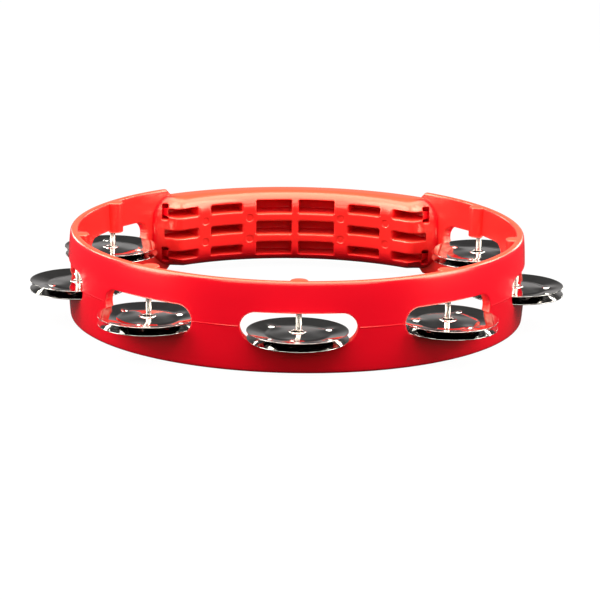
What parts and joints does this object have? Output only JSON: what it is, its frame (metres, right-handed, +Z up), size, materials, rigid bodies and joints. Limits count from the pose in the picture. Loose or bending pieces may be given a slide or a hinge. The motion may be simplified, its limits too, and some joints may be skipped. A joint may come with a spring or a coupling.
{
  "type": "tambourine",
  "caption": "Headless red plastic tambourine with one row of paired steel jingles on pins round the ring and a ribbed, pocketed hand grip moulded into the back.",
  "frame": {"origin": "centre of the ring on the plane of its bottom rim", "axes": "+Z up along the ring's axis, -Y to the front pair of jingles, +Y to the grip at the back"},
  "size_m": [0.2938, 0.276, 0.0488],
  "materials": {
    "red_plastic": "glossy moulded red plastic",
    "jingle_steel": "bright nickel plated sheet steel",
    "pin_steel": "bright drawn steel wire"
  },
  "bodies": {
    "frame": {"frame": "red_plastic", "pin_back_left": "pin_steel", "pin_left": "pin_steel", "pin_front_left": "pin_steel", "pin_front": "pin_steel", "pin_front_right": "pin_steel", "pin_right": "pin_steel", "pin_back_right": "pin_steel"},
    "lower_jingle_back_left": {"lower_jingle_back_left": "jingle_steel"},
    "upper_jingle_back_left": {"upper_jingle_back_left": "jingle_steel"},
    "lower_jingle_left": {"lower_jingle_left": "jingle_steel"},
    "upper_jingle_left": {"upper_jingle_left": "jingle_steel"},
    "lower_jingle_front_left": {"lower_jingle_front_left": "jingle_steel"},
    "upper_jingle_front_left": {"upper_jingle_front_left": "jingle_steel"},
    "lower_jingle_front": {"lower_jingle_front": "jingle_steel"},
    "upper_jingle_front": {"upper_jingle_front": "jingle_steel"},
    "lower_jingle_front_right": {"lower_jingle_front_right": "jingle_steel"},
    "upper_jingle_front_right": {"upper_jingle_front_right": "jingle_steel"},
    "lower_jingle_right": {"lower_jingle_right": "jingle_steel"},
    "upper_jingle_right": {"upper_jingle_right": "jingle_steel"},
    "lower_jingle_back_right": {"lower_jingle_back_right": "jingle_steel"},
    "upper_jingle_back_right": {"upper_jingle_back_right": "jingle_steel"}
  },
  "joints": [
    {"name": "lower_slide_back_left", "type": "slide", "parent": "frame", "child": "lower_jingle_back_left", "axis": [0, 0, 1], "range_m": [0, 0.00389]},
    {"name": "upper_slide_back_left", "type": "slide", "parent": "lower_jingle_back_left", "child": "upper_jingle_back_left", "axis": [0, 0, 1], "range_m": [0, 0.00389]},
    {"name": "lower_slide_left", "type": "slide", "parent": "frame", "child": "lower_jingle_left", "axis": [0, 0, 1], "range_m": [0, 0.00389]},
    {"name": "upper_slide_left", "type": "slide", "parent": "lower_jingle_left", "child": "upper_jingle_left", "axis": [0, 0, 1], "range_m": [0, 0.00389]},
    {"name": "lower_slide_front_left", "type": "slide", "parent": "frame", "child": "lower_jingle_front_left", "axis": [0, 0, 1], "range_m": [0, 0.00389]},
    {"name": "upper_slide_front_left", "type": "slide", "parent": "lower_jingle_front_left", "child": "upper_jingle_front_left", "axis": [0, 0, 1], "range_m": [0, 0.00389]},
    {"name": "lower_slide_front", "type": "slide", "parent": "frame", "child": "lower_jingle_front", "axis": [0, 0, 1], "range_m": [0, 0.00389]},
    {"name": "upper_slide_front", "type": "slide", "parent": "lower_jingle_front", "child": "upper_jingle_front", "axis": [0, 0, 1], "range_m": [0, 0.00389]},
    {"name": "lower_slide_front_right", "type": "slide", "parent": "frame", "child": "lower_jingle_front_right", "axis": [0, 0, 1], "range_m": [0, 0.00389]},
    {"name": "upper_slide_front_right", "type": "slide", "parent": "lower_jingle_front_right", "child": "upper_jingle_front_right", "axis": [0, 0, 1], "range_m": [0, 0.00389]},
    {"name": "lower_slide_right", "type": "slide", "parent": "frame", "child": "lower_jingle_right", "axis": [0, 0, 1], "range_m": [0, 0.00389]},
    {"name": "upper_slide_right", "type": "slide", "parent": "lower_jingle_right", "child": "upper_jingle_right", "axis": [0, 0, 1], "range_m": [0, 0.00389]},
    {"name": "lower_slide_back_right", "type": "slide", "parent": "frame", "child": "lower_jingle_back_right", "axis": [0, 0, 1], "range_m": [0, 0.00389]},
    {"name": "upper_slide_back_right", "type": "slide", "parent": "lower_jingle_back_right", "child": "upper_jingle_back_right", "axis": [0, 0, 1], "range_m": [0, 0.00389]}
  ]
}
